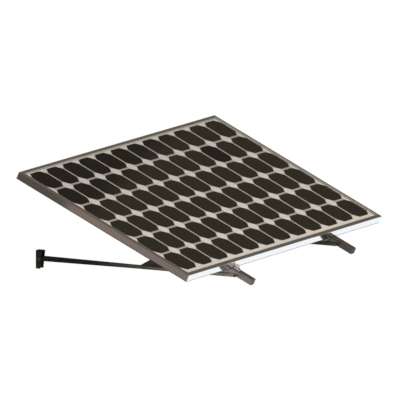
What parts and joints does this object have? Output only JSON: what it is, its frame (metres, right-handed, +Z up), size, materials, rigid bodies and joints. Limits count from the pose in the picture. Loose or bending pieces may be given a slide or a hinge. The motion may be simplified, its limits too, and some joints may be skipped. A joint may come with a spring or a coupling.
{
  "type": "solar panel wall mount",
  "caption": "Framed solar module held out from a wall at a slope by a pair of rails, struts, short arms and gusset plates, with folded wall feet.",
  "frame": {"origin": "on the wall plane, in the middle of the four wall holes of the two lower feet", "axes": "+X along the wall towards the right-hand rail, -Y away from the wall, +Z up"},
  "size_m": [1.577, 0.9364, 0.4355],
  "materials": {
    "frame_anodised": "satin anodised, mirror-like on its flat faces",
    "key_metal": "plain",
    "seal_black": "matt",
    "glass_front": "clear, smooth",
    "cell_silicon": "dark brown-black, smooth",
    "encapsulant_clear": "clear, seen against the backsheet",
    "backsheet_white": "matt white film",
    "box_black": "matt",
    "clip_metal": "plain",
    "rail_metal": "mill finish, dulled",
    "strut_dark": "dark brown-black, satin",
    "gusset_dark": "dark brown-black, satin",
    "foot_dark": "dark brown-black, satin",
    "fastener_steel": "plain zinc",
    "lug_brass": "tinned, pale"
  },
  "bodies": {
    "root": {"frame_front": "frame_anodised", "frame_rear": "frame_anodised", "frame_left": "frame_anodised", "frame_right": "frame_anodised", "corner_keys": "key_metal", "edge_seal": "seal_black", "glass": "glass_front", "solar_cells": "cell_silicon", "encapsulant": "encapsulant_clear", "backsheet": "backsheet_white", "junction_box": "box_black", "junction_box_lid": "box_black", "cable_glands": "box_black", "bypass_diodes": "box_black", "terminal_clips": "clip_metal", "rail_left": "rail_metal", "rail_right": "rail_metal", "strut_left": "strut_dark", "strut_right": "strut_dark", "upper_arm_left": "strut_dark", "upper_arm_right": "strut_dark", "gusset_left": "gusset_dark", "gusset_right": "gusset_dark", "lower_foot_left": "foot_dark", "lower_foot_right": "foot_dark", "upper_foot_left": "foot_dark", "upper_foot_right": "foot_dark", "module_bolts": "fastener_steel", "module_washers": "fastener_steel", "module_nuts": "fastener_steel", "pivot_bolts": "fastener_steel", "pivot_washers": "fastener_steel", "pivot_nuts": "fastener_steel", "gusset_strut_bolts": "fastener_steel", "gusset_strut_nuts": "fastener_steel", "gusset_rail_bolts": "fastener_steel", "gusset_rail_nuts": "fastener_steel", "arm_spacers": "fastener_steel", "arm_bolts": "fastener_steel", "arm_washers": "fastener_steel", "arm_nuts": "fastener_steel", "foot_bolts": "fastener_steel", "foot_nuts": "fastener_steel", "lug_base_screw": "fastener_steel", "ground_lug": "lug_brass", "lug_clamp_screw": "lug_brass"}
  },
  "joints": []
}
